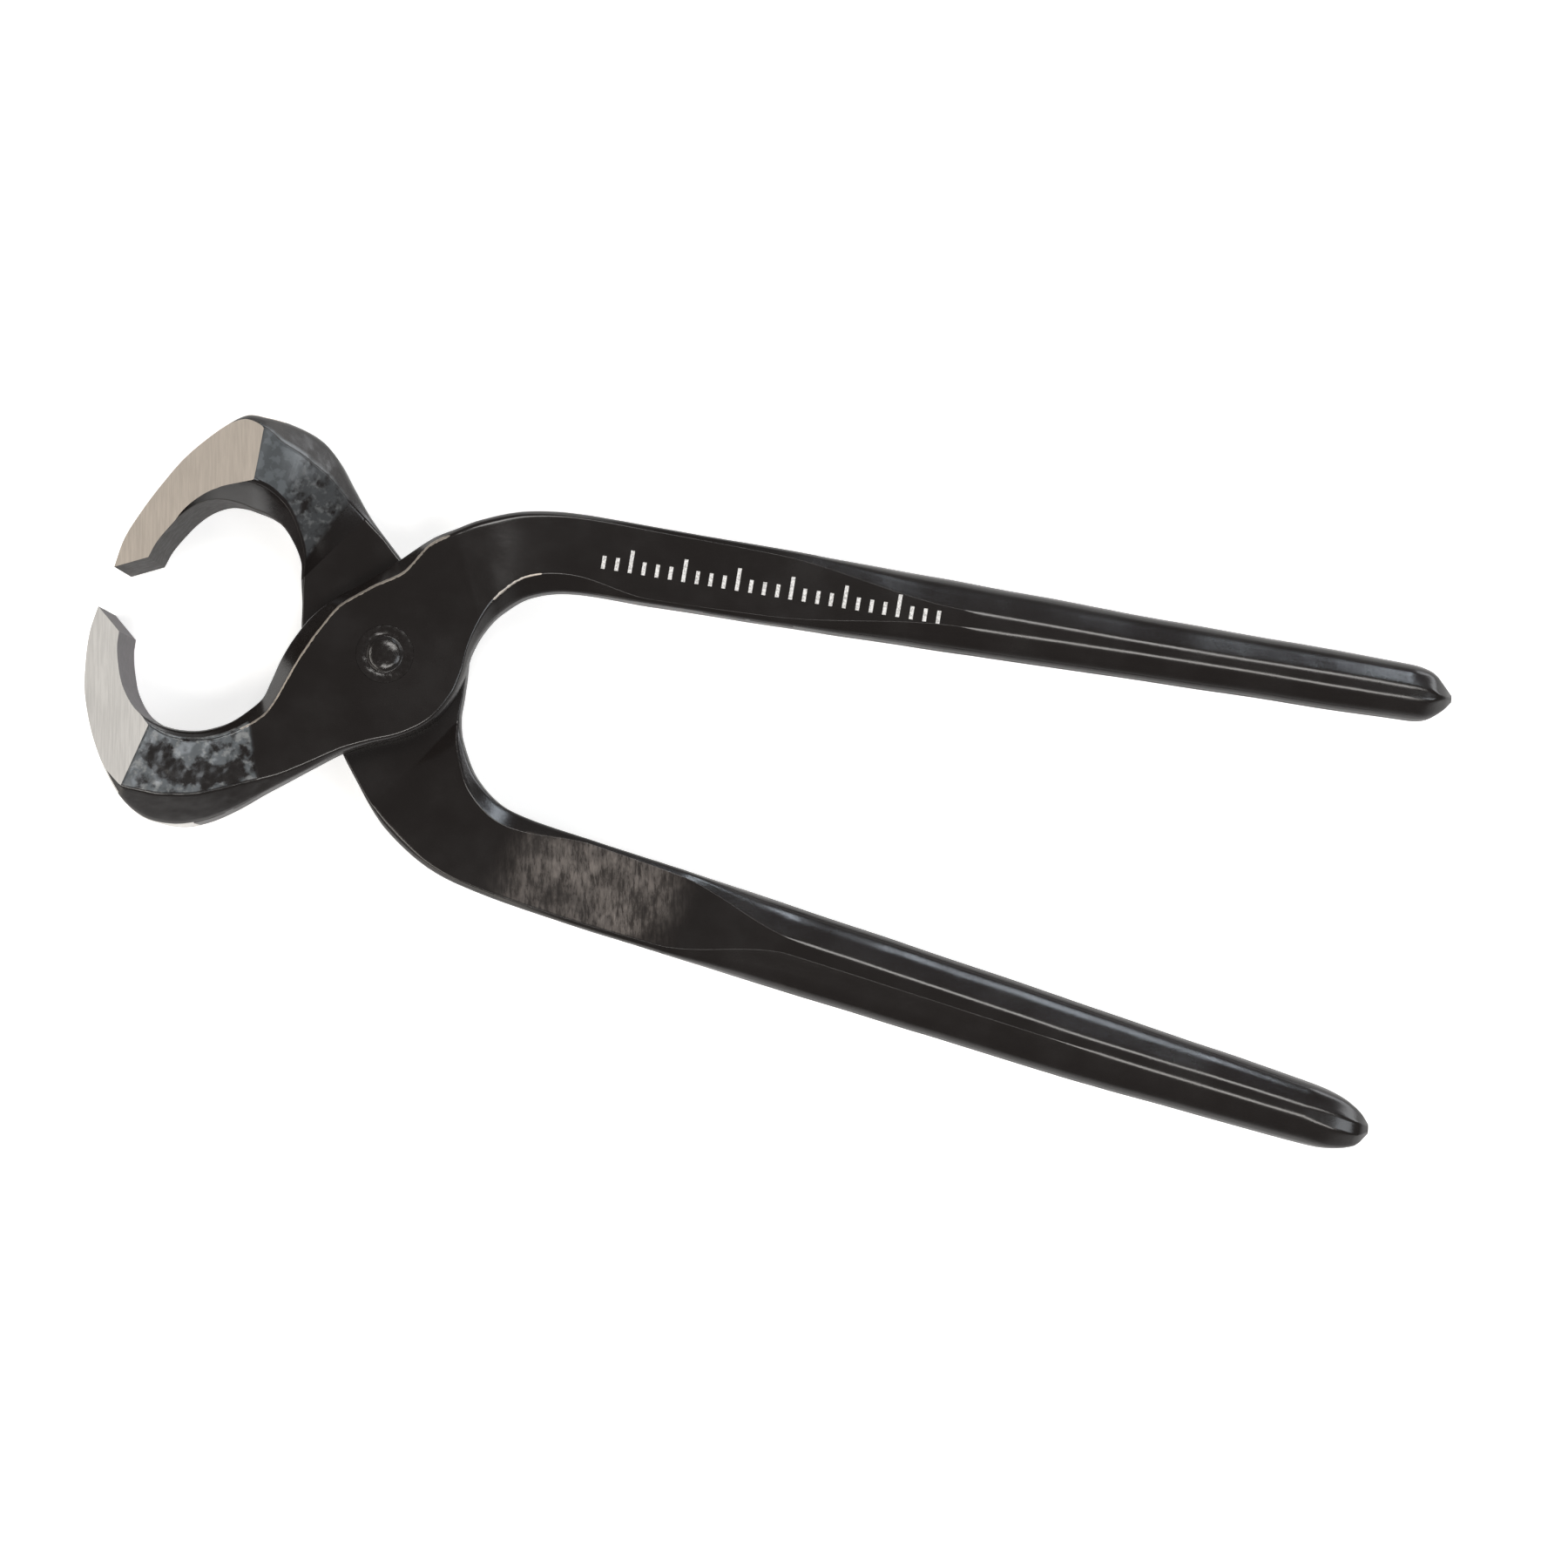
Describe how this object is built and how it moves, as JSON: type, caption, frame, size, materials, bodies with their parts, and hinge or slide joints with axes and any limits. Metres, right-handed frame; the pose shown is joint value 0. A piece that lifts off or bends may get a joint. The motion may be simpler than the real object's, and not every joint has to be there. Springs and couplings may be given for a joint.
{
  "type": "carpenter's pincers",
  "caption": "End-cutting pincers with a round throat, crossed forged levers on one flush rivet, bright ground jaw faces and slim black handles.",
  "frame": {"origin": "centre of the footprint at rest, on the surface the jaws' side faces lie on", "axes": "+X from the jaws to the handle ends, halfway between the handles; +Z along the rivet's axis, up from the surface"},
  "size_m": [0.2494, 0.0906, 0.024],
  "materials": {
    "black_lacquered_steel": "gloss black lacquer over forged steel, with bright ground jaw sides",
    "lacquered_rivet_steel": "gloss black lacquer over a peened steel rivet"
  },
  "bodies": {
    "front_half": {"front_lever": "black_lacquered_steel", "pivot_rivet": "lacquered_rivet_steel"},
    "rear_half": {"rear_lever": "black_lacquered_steel"}
  },
  "joints": [
    {"name": "jaw_pivot", "type": "hinge", "parent": "front_half", "child": "rear_half", "pos_m": [-0.07155, 0.00282, 0.012], "axis": [0, 0, -1], "range_deg": [-9.5, 25]}
  ]
}
